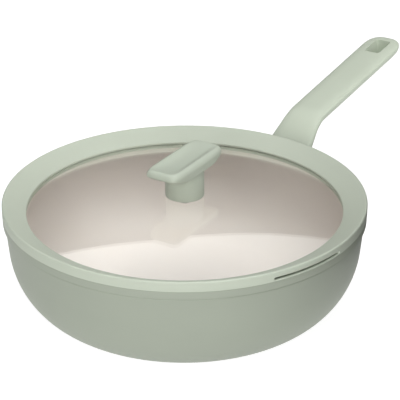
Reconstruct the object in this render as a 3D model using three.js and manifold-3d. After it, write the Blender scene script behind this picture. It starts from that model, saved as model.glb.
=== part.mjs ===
// A 28 cm wok with a long moulded handle and a glass lid in a thick silicone rim.
// Millimetres, +Z up. The origin is the centre of the flat base, and the handle points along +X.

import * as THREE from "three";
import { mergeVertices } from "three/addons/utils/BufferGeometryUtils.js";
import Module from "manifold-3d";

const wasm = await Module();
wasm.setup();

// Common
const FIT = 0.3; // gap between pieces that touch
const ROUND_STEPS = 64; // facets round the pan and the lid
const SMALL_STEPS = 24; // facets round the fittings

// Wok body
const PAN_HEIGHT = 84;
const BASE_RADIUS = 90.2; // flat of the base
const BASE_THICKNESS = 4.5;
const WALL = 3;
const SWEEP_WIDTH = 50.6; // the wall is a quarter ellipse of this width and height
const SWEEP_HEIGHT = 59.8;
const WALL_LEAN = 0.09; // outward lean of the straight wall above the curve
const WALL_STEPS = 10;
const BAND_RADIUS = 144.3; // thicker band round the rim
const BAND_HEIGHT = 5.2;
const BAND_ROUND = 0.7;

// Induction plate in the underside of the base
const PLATE_RADIUS = 80;
const PLATE_THICKNESS = 0.8;

// Lid glass, a shallow dome
const GLASS_APEX = 92.8;
const GLASS_DOME = 737; // radius of curvature
const GLASS_RADIUS = 132;
const GLASS_THICKNESS = 4;
const GLASS_HOLE = 6;
const GLASS_STEPS = 6;

// Silicone rim: a funnel towards the glass, a rounded crest, a seat on the pan's rim and a plug inside it
const RIM_OUTER = 144.5;
const RIM_INNER = 125.7;
const CREST_HEIGHT = 92.6;
const CREST_ROUND = 2.4;
const FUNNEL_LOW = 83.3; // top of the lip that holds the glass
const PLUG_LOW = 75.2;
const PLUG_TAPER = 0.8;
const RIM_ROUND = 0.6;

// Steam slot through the silicone rim, as angles from the handle
const SLOT_START = THREE.MathUtils.degToRad(-119.5);
const SLOT_END = THREE.MathUtils.degToRad(-93.3);
const SLOT_LOW = 86.2;
const SLOT_HEIGHT = 1.8;
const SLOT_FALL = 1.6; // how far the slot falls on its way in
const DUCT_INNER = 134;
const DUCT_WIDTH = 3.5;
const SLOT_STEPS = 8;

// Knob: a round stem that carries a long bar with a trough along its top
const STEM_BASE_RADIUS = 14.8;
const STEM_TOP_RADIUS = 16.4;
const STEM_TOP = 117.5;
const STEM_SHOULDER = 3; // height over which the stem draws in under the bar
const BAR_LENGTH = 74;
const BAR_WIDTH = 26.8;
const BAR_TOP = 126.4;
const BAR_DEPTH = 9.4;
const BAR_SQUARENESS = 5.5; // exponent of its rounded outline
const OUTLINE_STEPS = 32;
const TROUGH_WIDTH = 22.4; // the trough is round and runs out at both ends of the bar
const TROUGH_DEPTH = 3;
const KNOB_TURN = THREE.MathUtils.degToRad(2.5); // angle between the bar and the handle

// Knob fastening, stacked on the axis of the glass
const GASKET_RADIUS = 12;
const GASKET_THICKNESS = 0.8;
const GROMMET_RADIUS = 8.5;
const GROMMET_FLANGE = 0.9;
const SCREW_RADIUS = 2.4;
const SCREW_CLEARANCE = 3.2;
const KNOB_WASHER_RADIUS = 7;
const KNOB_WASHER_THICKNESS = 0.8;
const KNOB_SCREW_HEAD_RADIUS = 4.4;
const KNOB_SCREW_HEAD_HEIGHT = 2;
const INSERT_RADIUS = 4.2;
const INSERT_LENGTH = 14;
const KNOB_BORE_DEPTH = 17;

// Handle: a straight root that climbs from the wall and narrows, a bend and a nearly level grip
const CORNER_X = 190.2; // where the lines of root and grip would meet
const CORNER_Z = 94.6;
const ROOT_ANGLE = THREE.MathUtils.degToRad(38.5);
const GRIP_ANGLE = THREE.MathUtils.degToRad(8.4);
const BEND_RADIUS = 44;
const ROOT_LENGTH = 84; // from the corner back to a point inside the wall
const GRIP_LENGTH = 150; // from the end of the bend to the tip
const ROOT_WIDTH = 56; // at that point inside the wall
const BEND_WIDTH = 36;
const WAIST_WIDTH = 33.2; // where the grip starts
const TIP_WIDTH = 34.7;
const CROWN = 4.2; // height of the section's flat top above its widest line
const CROWN_SQUARENESS = 3;
const ROOT_BELLY = 9.3; // depth of the section below its widest line
const GRIP_BELLY = 14.5;
const BELLY_SQUARENESS = 1.5;
const TIP_LENGTH = 22.5; // stretch over which the tip rounds off
const TIP_SQUARENESS = 2.6;
const BEND_STEPS = 7;
const TIP_STEPS = 6;
const SECTION_STEPS = 24;

// Hanging slot, measured along the grip from the tip
const HANGING_SLOT_LENGTH = 25.5;
const HANGING_SLOT_WIDTH = 15;
const HANGING_SLOT_DRAFT = 0.15; // how much each side draws in for each millimetre of depth
const HANGING_SLOT_FROM_TIP = 23;
const HANGING_SLOT_SQUARENESS = 8;

// Handle bracket: a foot on the wall and a tang inside the grip
const FOOT_THICKNESS = 4.7;
const FOOT_MARGIN = 1; // how far the foot stands out round the grip
const TANG_WIDTH = 15;
const TANG_THICKNESS = 6;
const TANG_END = 22; // distance of its tip from the corner
const TANG_DROP = 3; // how far it lies below the widest line of the section

// Handle screw, square to the root, with its head in the underside
const HANDLE_SCREW_AT = 38; // distance from the corner
const HANDLE_HEAD_RADIUS = 4.5;
const HANDLE_HEAD_HEIGHT = 2.2;
const HANDLE_WASHER_RADIUS = 4.6;
const HANDLE_WASHER_THICKNESS = 0.8;
const COUNTERBORE_RADIUS = 5.2;
const COUNTERBORE_FLOOR = 4.3; // distance from the middle of the tang
const HANDLE_SCREW_REACH = 2.5; // past the middle of the tang

// Finishes
const sageLacquer = new THREE.MeshStandardMaterial({ color: 0xb4bcac, roughness: 0.45, metalness: 0 });
const sageSilicone = new THREE.MeshStandardMaterial({ color: 0xbec7b7, roughness: 0.6, metalness: 0 });
const sagePlastic = new THREE.MeshStandardMaterial({ color: 0xbfc9b9, roughness: 0.5, metalness: 0 });
const clearSilicone = new THREE.MeshStandardMaterial({ color: 0xd8d8d2, roughness: 0.6, metalness: 0 });
const brushedSteel = new THREE.MeshStandardMaterial({ color: 0xb9b9b7, roughness: 0.35, metalness: 1 });
const castAluminium = new THREE.MeshStandardMaterial({ color: 0xc4c6c8, roughness: 0.45, metalness: 1 });
const brass = new THREE.MeshStandardMaterial({ color: 0xc2a25a, roughness: 0.35, metalness: 1 });
const temperedGlass = new THREE.MeshStandardMaterial({
  color: 0xe6ece9,
  roughness: 0.05,
  metalness: 0,
  transparent: true,
  opacity: 0.35,
});

// Makes a closed solid for joining and cutting
function solid(geometry) {
  const bare = new THREE.BufferGeometry();
  bare.setAttribute("position", geometry.attributes.position);
  bare.setIndex(geometry.index);
  const welded = mergeVertices(bare, 1e-4);
  const triangles = [];
  for (let i = 0; i < welded.index.count; i += 3) {
    const [a, b, c] = [0, 1, 2].map((corner) => welded.index.getX(i + corner));
    if (a !== b && b !== c && c !== a) {
      triangles.push(a, b, c);
    }
  }
  return new wasm.Manifold(
    new wasm.Mesh({
      numProp: 3,
      vertProperties: welded.attributes.position.array,
      triVerts: new Uint32Array(triangles),
    })
  );
}

// Turns a solid back into a geometry
function surface(body) {
  const mesh = body.getMesh();
  const geometry = new THREE.BufferGeometry();
  geometry.setAttribute("position", new THREE.BufferAttribute(mesh.vertProperties, 3));
  geometry.setIndex(new THREE.BufferAttribute(mesh.triVerts, 1));
  const faceted = geometry.toNonIndexed();
  faceted.computeVertexNormals();
  return faceted;
}

// Turns a profile of radius and height points round the Z axis
function turned(points, steps = ROUND_STEPS) {
  return new THREE.LatheGeometry(points, steps).rotateX(Math.PI / 2);
}

// The same for a profile that closes on itself
function turnedRing(points, steps = ROUND_STEPS) {
  return turned([...points, points[0]], steps);
}

// A flat ring or, with no hole, a disc
function washer(outer, hole, low, high, steps = SMALL_STEPS) {
  const edge = [new THREE.Vector2(outer, low), new THREE.Vector2(outer, high)];
  const bottom = new THREE.Vector2(hole, low);
  const top = new THREE.Vector2(hole, high);
  return hole > 0 ? turnedRing([bottom, ...edge, top], steps) : turned([bottom, ...edge, top], steps);
}

// Skins a row of closed rings, each counter-clockwise about the direction of travel
function loft(rings) {
  const count = rings[0].length;
  const last = (rings.length - 1) * count;
  const index = [];
  for (let i = 0; i < last; i += count) {
    for (let j = 0; j < count; j += 1) {
      const next = (j + 1) % count;
      index.push(i + j, i + next, i + count + next);
      index.push(i + j, i + count + next, i + count + j);
    }
  }
  for (let j = 1; j + 1 < count; j += 1) {
    index.push(0, j + 1, j);
    index.push(last, last + j, last + j + 1);
  }
  const geometry = new THREE.BufferGeometry().setFromPoints(rings.flat());
  geometry.setIndex(index);
  return geometry;
}

// Rounded outline between an ellipse (exponent 2) and a rectangle (a high exponent)
function roundedOutline(halfLength, halfWidth, exponent, steps) {
  const bend = (value) => Math.sign(value) * Math.abs(value) ** (2 / exponent);
  return Array.from({ length: steps }, (_, i) => {
    const angle = (2 * Math.PI * i) / steps;
    return new THREE.Vector2(halfLength * bend(Math.cos(angle)), halfWidth * bend(Math.sin(angle)));
  });
}

// Outer line of the wall from the base to the band, moved out by offset(share of the way up)
function wallLine(offset) {
  const curveEnd = Math.atan2(SWEEP_WIDTH, SWEEP_HEIGHT * WALL_LEAN);
  const points = [];
  for (let i = 0; i <= WALL_STEPS; i += 1) {
    const angle = (curveEnd * i) / WALL_STEPS;
    const point = new THREE.Vector2(Math.sin(angle) * SWEEP_WIDTH, (1 - Math.cos(angle)) * SWEEP_HEIGHT);
    const normal = new THREE.Vector2(SWEEP_HEIGHT * Math.sin(angle), -SWEEP_WIDTH * Math.cos(angle));
    point.x += BASE_RADIUS;
    points.push(point.addScaledVector(normal.normalize(), offset(i / WALL_STEPS)));
  }
  const curveTop = (1 - Math.cos(curveEnd)) * SWEEP_HEIGHT;
  const straight = PAN_HEIGHT - BAND_HEIGHT - curveTop;
  const top = points[WALL_STEPS].clone().add(new THREE.Vector2(WALL_LEAN * straight, straight));
  return [...points, top];
}

// Solid bowl up to a line outside the wall, for shaping what meets the wall
function bowlBlock(offset) {
  const line = wallLine(() => offset);
  const floor = new THREE.Vector2(0, line[0].y);
  const top = new THREE.Vector2(0, line[line.length - 1].y);
  return solid(turned([floor, ...line, top]));
}

function wokBody() {
  const outside = wallLine(() => 0);
  const inside = wallLine((share) => -THREE.MathUtils.lerp(BASE_THICKNESS, WALL, share));
  const bandLow = outside.at(-1).y;
  const rimInner = inside.at(-1).x;
  const band = [
    new THREE.Vector2(BAND_RADIUS, bandLow + BAND_ROUND),
    new THREE.Vector2(BAND_RADIUS, PAN_HEIGHT - BAND_ROUND),
    new THREE.Vector2(BAND_RADIUS - BAND_ROUND, PAN_HEIGHT),
    new THREE.Vector2(rimInner + BAND_ROUND, PAN_HEIGHT),
    new THREE.Vector2(rimInner, PAN_HEIGHT - BAND_ROUND),
  ];
  const recessRadius = PLATE_RADIUS + FIT;
  const recessDepth = PLATE_THICKNESS + FIT;
  const underside = [
    new THREE.Vector2(0, recessDepth),
    new THREE.Vector2(recessRadius, recessDepth),
    new THREE.Vector2(recessRadius, 0),
  ];
  const floor = new THREE.Vector2(0, BASE_THICKNESS);
  return turned([...underside, ...outside, ...band, ...inside.reverse(), floor]);
}

function glassTop(radius) {
  return GLASS_APEX - GLASS_DOME + Math.sqrt(GLASS_DOME ** 2 - radius ** 2);
}

function lidGlass() {
  const radii = Array.from({ length: GLASS_STEPS + 1 }, (_, i) =>
    THREE.MathUtils.lerp(GLASS_HOLE, GLASS_RADIUS, i / GLASS_STEPS)
  );
  const top = radii.map((radius) => new THREE.Vector2(radius, glassTop(radius)));
  const bottom = top.map((point) => new THREE.Vector2(point.x, point.y - GLASS_THICKNESS));
  return turnedRing([...bottom, ...top.reverse()]);
}

// Cross-section of the silicone rim, from the lip over the glass round the outside to the groove
function rimSection() {
  const seat = PAN_HEIGHT + FIT;
  const plugRadius = wallLine(() => -WALL).at(-1).x - FIT;
  const grooveEnd = GLASS_RADIUS + FIT;
  const grooveTop = (radius) => glassTop(radius) + FIT;
  const grooveLow = (radius) => glassTop(radius) - GLASS_THICKNESS - FIT;
  const section = new THREE.Path();
  section.moveTo(RIM_INNER, FUNNEL_LOW - RIM_ROUND);
  section.quadraticCurveTo(RIM_INNER, FUNNEL_LOW, RIM_INNER + RIM_ROUND, FUNNEL_LOW);
  section.lineTo(RIM_OUTER - 1.5 * CREST_ROUND, CREST_HEIGHT - CREST_ROUND / 4);
  section.quadraticCurveTo(RIM_OUTER - CREST_ROUND / 4, CREST_HEIGHT, RIM_OUTER, CREST_HEIGHT - CREST_ROUND);
  section.lineTo(RIM_OUTER, seat + RIM_ROUND);
  section.quadraticCurveTo(RIM_OUTER, seat, RIM_OUTER - RIM_ROUND, seat);
  section.lineTo(plugRadius, seat);
  section.lineTo(plugRadius - PLUG_TAPER, PLUG_LOW + RIM_ROUND);
  section.lineTo(plugRadius - PLUG_TAPER - RIM_ROUND, PLUG_LOW);
  section.lineTo(RIM_INNER + RIM_ROUND, PLUG_LOW);
  section.lineTo(RIM_INNER, PLUG_LOW + RIM_ROUND);
  section.lineTo(RIM_INNER, grooveLow(RIM_INNER));
  section.lineTo(grooveEnd, grooveLow(grooveEnd));
  section.lineTo(grooveEnd, grooveTop(grooveEnd));
  section.lineTo(RIM_INNER, grooveTop(RIM_INNER));
  return section.getPoints(3).reverse();
}

// Sweeps a four-sided section of radius and height points along the steam slot
function slotSweep(corners) {
  const rings = Array.from({ length: SLOT_STEPS + 1 }, (_, i) => {
    const angle = THREE.MathUtils.lerp(SLOT_START, SLOT_END, i / SLOT_STEPS);
    return corners.map(([radius, height]) =>
      new THREE.Vector3(radius * Math.cos(angle), radius * Math.sin(angle), height)
    );
  });
  return solid(loft(rings));
}

function lidSiliconeRim() {
  const beyond = RIM_OUTER + 2;
  const ductOuter = DUCT_INNER + DUCT_WIDTH;
  const below = PLUG_LOW - 2;
  const ceiling = SLOT_LOW - SLOT_FALL + SLOT_HEIGHT;
  const mouth = slotSweep([
    [DUCT_INNER, SLOT_LOW - SLOT_FALL],
    [DUCT_INNER, ceiling],
    [beyond, SLOT_LOW + SLOT_HEIGHT],
    [beyond, SLOT_LOW],
  ]);
  const duct = slotSweep([
    [DUCT_INNER, below],
    [DUCT_INNER, ceiling - SLOT_HEIGHT / 2],
    [ductOuter, ceiling - SLOT_HEIGHT / 2],
    [ductOuter, below],
  ]);
  return surface(solid(turnedRing(rimSection())).subtract(mouth).subtract(duct));
}

// Bar of the knob as a stack of outlines, from its flat underside up to the edge of its top
function knobBar() {
  const outline = (lengthShare, widthShare, height) =>
    roundedOutline(
      (BAR_LENGTH / 2) * lengthShare,
      (BAR_WIDTH / 2) * widthShare,
      BAR_SQUARENESS,
      OUTLINE_STEPS
    ).map((point) => new THREE.Vector3(point.x, point.y, height));
  const low = BAR_TOP - BAR_DEPTH;
  return solid(
    loft([
      outline(0.78, 0.8, low),
      outline(0.87, 0.93, low + 0.12 * BAR_DEPTH),
      outline(0.94, 0.98, low + 0.4 * BAR_DEPTH),
      outline(1, 1, low + 0.88 * BAR_DEPTH),
      outline(0.98, 0.95, BAR_TOP),
    ])
  );
}

function knobTrough() {
  const radius = (TROUGH_WIDTH ** 2 / 4 + TROUGH_DEPTH ** 2) / (2 * TROUGH_DEPTH);
  const roller = new THREE.CylinderGeometry(radius, radius, 1.2 * BAR_LENGTH, ROUND_STEPS);
  return solid(roller.rotateZ(Math.PI / 2).translate(0, 0, BAR_TOP - TROUGH_DEPTH + radius));
}

function lidKnob() {
  const base = glassTop(STEM_BASE_RADIUS) + FIT;
  const recessTop = gasketLow() + GASKET_THICKNESS + FIT;
  const insideBar = STEM_TOP + STEM_SHOULDER / 3;
  const stem = solid(
    turned(
      [
        new THREE.Vector2(0, base),
        new THREE.Vector2(STEM_BASE_RADIUS - RIM_ROUND, base),
        new THREE.Vector2(STEM_BASE_RADIUS, base + RIM_ROUND),
        new THREE.Vector2(STEM_TOP_RADIUS, STEM_TOP - STEM_SHOULDER),
        new THREE.Vector2(STEM_TOP_RADIUS - STEM_SHOULDER / 3, STEM_TOP - STEM_SHOULDER / 3),
        new THREE.Vector2(STEM_TOP_RADIUS - STEM_SHOULDER, insideBar),
        new THREE.Vector2(0, insideBar),
      ],
      2 * SMALL_STEPS
    )
  );
  const recess = solid(washer(GASKET_RADIUS + FIT, 0, base - 1, recessTop));
  const bore = solid(washer(INSERT_RADIUS + FIT, 0, base - 1, recessTop + KNOB_BORE_DEPTH));
  const bar = knobBar().subtract(knobTrough());
  return surface(stem.add(bar).subtract(recess).subtract(bore));
}

function gasketLow() {
  return GLASS_APEX + FIT;
}

function knobUpperGasket() {
  return washer(GASKET_RADIUS, SCREW_CLEARANCE, gasketLow(), gasketLow() + GASKET_THICKNESS);
}

function grommetTop() {
  return glassTop(GLASS_HOLE) - GLASS_THICKNESS - FIT;
}

function knobLowerGrommet() {
  const top = grommetTop();
  const sleeve = GLASS_HOLE - FIT;
  return turnedRing(
    [
      new THREE.Vector2(SCREW_CLEARANCE, top - GROMMET_FLANGE),
      new THREE.Vector2(GROMMET_RADIUS, top - GROMMET_FLANGE),
      new THREE.Vector2(GROMMET_RADIUS, top - FIT),
      new THREE.Vector2(sleeve, top - FIT),
      new THREE.Vector2(sleeve, GLASS_APEX - FIT),
      new THREE.Vector2(SCREW_CLEARANCE, GLASS_APEX - FIT),
    ],
    SMALL_STEPS
  );
}

function knobWasherTop() {
  return grommetTop() - GROMMET_FLANGE - FIT;
}

function knobWasher() {
  const top = knobWasherTop();
  return washer(KNOB_WASHER_RADIUS, SCREW_RADIUS + FIT, top - KNOB_WASHER_THICKNESS, top);
}

function insertLow() {
  return gasketLow() + GASKET_THICKNESS + 2 * FIT;
}

function knobThreadedInsert() {
  return washer(INSERT_RADIUS, SCREW_RADIUS + FIT, insertLow(), insertLow() + INSERT_LENGTH);
}

// Pan-head screw along Z, with the underside of its head at headTop and its end at tip
function panHeadScrew(headRadius, headHeight, headTop, tip) {
  return turned(
    [
      new THREE.Vector2(0, headTop - headHeight),
      new THREE.Vector2(0.7 * headRadius, headTop - headHeight),
      new THREE.Vector2(headRadius, headTop - 0.5 * headHeight),
      new THREE.Vector2(headRadius, headTop),
      new THREE.Vector2(SCREW_RADIUS, headTop),
      new THREE.Vector2(SCREW_RADIUS, tip - 0.5 * SCREW_RADIUS),
      new THREE.Vector2(0.5 * SCREW_RADIUS, tip),
      new THREE.Vector2(0, tip),
    ],
    SMALL_STEPS
  );
}

function knobScrew() {
  const headTop = knobWasherTop() - KNOB_WASHER_THICKNESS - FIT;
  return panHeadScrew(KNOB_SCREW_HEAD_RADIUS, KNOB_SCREW_HEAD_HEIGHT, headTop, insertLow() + INSERT_LENGTH);
}

// Section of the handle across its length, at a point of its side view: a flat crown over a deep belly
function handleSection(x, z, angle, width, crown, belly) {
  const upper = roundedOutline(width / 2, crown, CROWN_SQUARENESS, SECTION_STEPS);
  const lower = roundedOutline(width / 2, belly, BELLY_SQUARENESS, SECTION_STEPS);
  return [...upper.slice(0, SECTION_STEPS / 2), ...lower.slice(SECTION_STEPS / 2)].map(
    (point) => new THREE.Vector3(x - Math.sin(angle) * point.y, point.x, z + Math.cos(angle) * point.y)
  );
}

// Where the straight root and the straight grip meet the bend, measured from the corner
function bendReach() {
  return BEND_RADIUS * Math.tan((ROOT_ANGLE - GRIP_ANGLE) / 2);
}

function rootPoint(distance) {
  return new THREE.Vector3(
    CORNER_X - distance * Math.cos(ROOT_ANGLE),
    0,
    CORNER_Z - distance * Math.sin(ROOT_ANGLE)
  );
}

function gripPoint(distance) {
  return new THREE.Vector3(
    CORNER_X + distance * Math.cos(GRIP_ANGLE),
    0,
    CORNER_Z + distance * Math.sin(GRIP_ANGLE)
  );
}

// Handle from inside the wall to its tip, with no holes yet
function handleBlank(margin) {
  const reach = bendReach();
  const start = rootPoint(ROOT_LENGTH);
  const bendStart = rootPoint(reach);
  const crown = CROWN + margin;
  const rootWidth = ROOT_WIDTH + 2 * margin;
  const rings = [handleSection(start.x, start.z, ROOT_ANGLE, rootWidth, crown, ROOT_BELLY + margin)];
  for (let i = 0; i <= BEND_STEPS; i += 1) {
    const share = i / BEND_STEPS;
    const angle = THREE.MathUtils.lerp(ROOT_ANGLE, GRIP_ANGLE, share);
    const width = THREE.MathUtils.lerp(WAIST_WIDTH, BEND_WIDTH, (1 - share) ** 2) + 2 * margin;
    const x = bendStart.x + BEND_RADIUS * (Math.sin(ROOT_ANGLE) - Math.sin(angle));
    const z = bendStart.z + BEND_RADIUS * (Math.cos(angle) - Math.cos(ROOT_ANGLE));
    rings.push(handleSection(x, z, angle, width, crown, GRIP_BELLY + margin));
  }
  for (let i = 0; i < TIP_STEPS; i += 1) {
    const share = Math.sin((Math.PI * (i + 0.2)) / (2 * TIP_STEPS));
    const narrow = (1 - share ** TIP_SQUARENESS) ** (1 / TIP_SQUARENESS);
    const flat = (1 - share ** (2 * TIP_SQUARENESS)) ** (1 / TIP_SQUARENESS);
    const point = gripPoint(reach + GRIP_LENGTH - TIP_LENGTH * (1 - share));
    const width = TIP_WIDTH * narrow;
    rings.push(handleSection(point.x, point.z, GRIP_ANGLE, width, CROWN * flat, GRIP_BELLY * flat));
  }
  return solid(loft(rings));
}

// Frame at a point in the middle of the tang, with X along the root and Z square to it
function tangFrame(distance) {
  const drop = new THREE.Vector3(Math.sin(ROOT_ANGLE), 0, -Math.cos(ROOT_ANGLE)).multiplyScalar(TANG_DROP);
  return new THREE.Matrix4().makeRotationY(-ROOT_ANGLE).setPosition(rootPoint(distance).add(drop));
}

// Tang of the bracket, or the socket for it when grown by a gap
function tang(gap) {
  const length = ROOT_LENGTH - TANG_END + 2 * gap;
  const box = new THREE.BoxGeometry(length, TANG_WIDTH + 2 * gap, TANG_THICKNESS + 2 * gap);
  return solid(box.applyMatrix4(tangFrame((ROOT_LENGTH + TANG_END) / 2)));
}

function hangingSlot() {
  const level = (height) => {
    const drawnIn = HANGING_SLOT_DRAFT * (CROWN - height);
    return roundedOutline(
      HANGING_SLOT_LENGTH / 2 - drawnIn,
      HANGING_SLOT_WIDTH / 2 - drawnIn,
      HANGING_SLOT_SQUARENESS,
      SECTION_STEPS
    ).map((point) => new THREE.Vector3(point.x, point.y, height));
  };
  const frame = new THREE.Matrix4().makeRotationY(-GRIP_ANGLE);
  frame.setPosition(gripPoint(bendReach() + GRIP_LENGTH - HANGING_SLOT_FROM_TIP));
  return solid(loft([level(-GRIP_BELLY - 1), level(CROWN + 1)]).applyMatrix4(frame));
}

function handleGrip() {
  const screwFrame = tangFrame(HANDLE_SCREW_AT);
  const counterbore = washer(COUNTERBORE_RADIUS, 0, -GRIP_BELLY, -COUNTERBORE_FLOOR);
  const screwHole = washer(SCREW_RADIUS + FIT, 0, -GRIP_BELLY, 0);
  return surface(
    handleBlank(0)
      .subtract(bowlBlock(FOOT_THICKNESS + 2 * FIT))
      .subtract(tang(FIT))
      .subtract(solid(counterbore.applyMatrix4(screwFrame)))
      .subtract(solid(screwHole.applyMatrix4(screwFrame)))
      .subtract(hangingSlot())
  );
}

function handleBracket() {
  const foot = handleBlank(FOOT_MARGIN).intersect(bowlBlock(FOOT_THICKNESS + FIT));
  const screwHole = washer(SCREW_RADIUS + FIT, 0, -TANG_THICKNESS, TANG_THICKNESS);
  return surface(
    foot
      .add(tang(0))
      .subtract(bowlBlock(FIT))
      .subtract(solid(screwHole.applyMatrix4(tangFrame(HANDLE_SCREW_AT))))
  );
}

function handleLockWasher() {
  const top = -COUNTERBORE_FLOOR - FIT;
  return washer(HANDLE_WASHER_RADIUS, SCREW_RADIUS + FIT, top - HANDLE_WASHER_THICKNESS, top);
}

function handleScrew() {
  const headTop = -COUNTERBORE_FLOOR - HANDLE_WASHER_THICKNESS - 2 * FIT;
  return panHeadScrew(HANDLE_HEAD_RADIUS, HANDLE_HEAD_HEIGHT, headTop, HANDLE_SCREW_REACH);
}

function piece(name, geometry, material) {
  const mesh = new THREE.Mesh(geometry, material);
  mesh.name = name;
  return mesh;
}

const pan = new THREE.Group();
pan.add(piece("wok_body", wokBody(), sageLacquer));
pan.add(piece("induction_base_plate", washer(PLATE_RADIUS, 0, 0, PLATE_THICKNESS, ROUND_STEPS), brushedSteel));
pan.add(piece("handle_bracket", handleBracket(), castAluminium));
pan.add(piece("handle_grip", handleGrip(), sagePlastic));

const handleFastening = new THREE.Group();
handleFastening.applyMatrix4(tangFrame(HANDLE_SCREW_AT));
handleFastening.add(piece("handle_lock_washer", handleLockWasher(), brushedSteel));
handleFastening.add(piece("handle_screw", handleScrew(), brushedSteel));
pan.add(handleFastening);

const lid = new THREE.Group();
lid.add(piece("lid_glass", lidGlass(), temperedGlass));
lid.add(piece("lid_silicone_rim", lidSiliconeRim(), sageSilicone));
const knob = piece("lid_knob", lidKnob(), sagePlastic);
knob.rotation.z = KNOB_TURN;
lid.add(knob);
lid.add(piece("knob_threaded_insert", knobThreadedInsert(), brass));
lid.add(piece("knob_upper_gasket", knobUpperGasket(), clearSilicone));
lid.add(piece("knob_lower_grommet", knobLowerGrommet(), clearSilicone));
lid.add(piece("knob_washer", knobWasher(), brushedSteel));
lid.add(piece("knob_screw", knobScrew(), brushedSteel));

const wok = new THREE.Group();
wok.add(pan, lid);

export default wok;
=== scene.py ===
import math

import bmesh
import bpy
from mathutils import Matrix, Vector


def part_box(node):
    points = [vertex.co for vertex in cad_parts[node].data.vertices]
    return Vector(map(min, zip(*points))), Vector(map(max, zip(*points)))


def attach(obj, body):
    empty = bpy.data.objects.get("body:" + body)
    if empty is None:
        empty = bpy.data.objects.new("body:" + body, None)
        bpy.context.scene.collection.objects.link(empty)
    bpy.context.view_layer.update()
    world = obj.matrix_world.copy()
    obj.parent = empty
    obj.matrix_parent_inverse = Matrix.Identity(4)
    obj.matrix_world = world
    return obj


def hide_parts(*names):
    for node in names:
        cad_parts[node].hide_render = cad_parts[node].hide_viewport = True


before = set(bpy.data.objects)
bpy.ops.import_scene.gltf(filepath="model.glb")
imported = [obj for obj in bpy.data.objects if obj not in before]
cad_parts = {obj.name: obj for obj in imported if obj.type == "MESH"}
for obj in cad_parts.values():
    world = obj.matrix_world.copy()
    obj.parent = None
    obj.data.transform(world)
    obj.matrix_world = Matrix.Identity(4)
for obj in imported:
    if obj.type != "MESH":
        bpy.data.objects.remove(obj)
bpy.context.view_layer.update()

# Wok bowl: an aluminium blank pressed and spun to a flat base and a wall that leans out to a thicker band,
# with a fine groove rolled in under the band. Outside it is sprayed with a satin sage lacquer, and inside
# with a cream ceramic coating. All other pieces of the pan are fixed to it.
MM = 0.001
ROUND_STEPS = 192
BASE_FLAT = 90.2 * MM
SWEEP_WIDTH = 50.6 * MM
SWEEP_HEIGHT = 59.8 * MM
WALL_LEAN = 0.09
WALL = 3 * MM
BASE_THICKNESS = 4.5 * MM
BAND_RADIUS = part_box("wok_body")[1].x
BAND_HEIGHT = 6.2 * MM
BAND_STEP = 0.3 * MM
BAND_ROUND = 0.5 * MM
GROOVE_HEIGHT = 2.2 * MM
GROOVE_DEPTH = 0.7 * MM
GROOVE_SHOULDER = 0.7 * GROOVE_HEIGHT
GROOVE_SHOULDER_DEPTH = GROOVE_DEPTH / 3
GROOVE_FLOOR = 0.3 * GROOVE_HEIGHT
GROOVE_ROUND = GROOVE_DEPTH / 2
PLATE_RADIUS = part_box("induction_base_plate")[1].x
PLATE_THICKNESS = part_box("induction_base_plate")[1].z
# Pieces that touch stand this far apart.
FIT = 0.3 * MM
RIM_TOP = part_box("wok_body")[1].z
LACQUER = "A3AA9B"
LACQUER_DEEP = "9EA597"
CERAMIC = "FCF4EF"
CERAMIC_WARM = "F9F0E9"


def linear(hex_colour):
    """Linear red, green, blue and alpha of an sRGB hex colour."""
    channels = [int(hex_colour[i : i + 2], 16) / 255 for i in (0, 2, 4)]
    return [c / 12.92 if c <= 0.04045 else ((c + 0.055) / 1.055) ** 2.4 for c in channels] + [1]


def add_node(tree, kind, values=None, links=None, **settings):
    """Adds a shader node. A link comes from a socket, or from the first output of a node."""
    node = tree.nodes.new("ShaderNode" + kind)
    for setting, value in settings.items():
        setattr(node, setting, value)
    for socket, value in (values or {}).items():
        node.inputs[socket].default_value = value
    for socket, source in (links or {}).items():
        output = source.outputs[0] if isinstance(source, bpy.types.Node) else source
        tree.links.new(output, node.inputs[socket])
    return node


def new_material(name):
    material = bpy.data.materials.new(name)
    material.use_nodes = True
    material.node_tree.nodes.clear()
    return material, material.node_tree


def shade(tree, clouds, grain, light, deep, roughness, relief, shader_values):
    """Surface whose colour follows one pattern between two shades, and whose gloss and relief another."""
    # Inputs 6 and 7 of a mix node are its two colours, and output 2 is the mixed colour.
    shades = {6: linear(deep), 7: linear(light)}
    colour = add_node(tree, "Mix", shades, {0: clouds}, data_type="RGBA").outputs[2]
    low, high = roughness
    rough = add_node(tree, "MapRange", {"To Min": low, "To Max": high}, {"Value": grain})
    bump = add_node(tree, "Bump", relief, {"Height": grain})
    patterns = {"Base Color": colour, "Roughness": rough, "Normal": bump}
    shader = add_node(tree, "BsdfPrincipled", shader_values, patterns)
    add_node(tree, "OutputMaterial", links={"Surface": shader})


def finish(name, light, deep, cloud_size, grain_size, bump_depth, roughness, **shader_values):
    """Material whose colour clouds between two shades, with a fine grain in its relief and its gloss."""
    material, tree = new_material(name)
    place = add_node(tree, "TexCoord").outputs["Object"]
    clouds = add_node(tree, "TexNoise", {"Scale": 1 / cloud_size, "Detail": 3}, {"Vector": place})
    grain = add_node(tree, "TexNoise", {"Scale": 1 / grain_size, "Detail": 2}, {"Vector": place})
    sockets = {socket.replace("_", " "): value for socket, value in shader_values.items()}
    shade(tree, clouds, grain, light, deep, roughness, {"Distance": bump_depth}, sockets)
    return material


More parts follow.
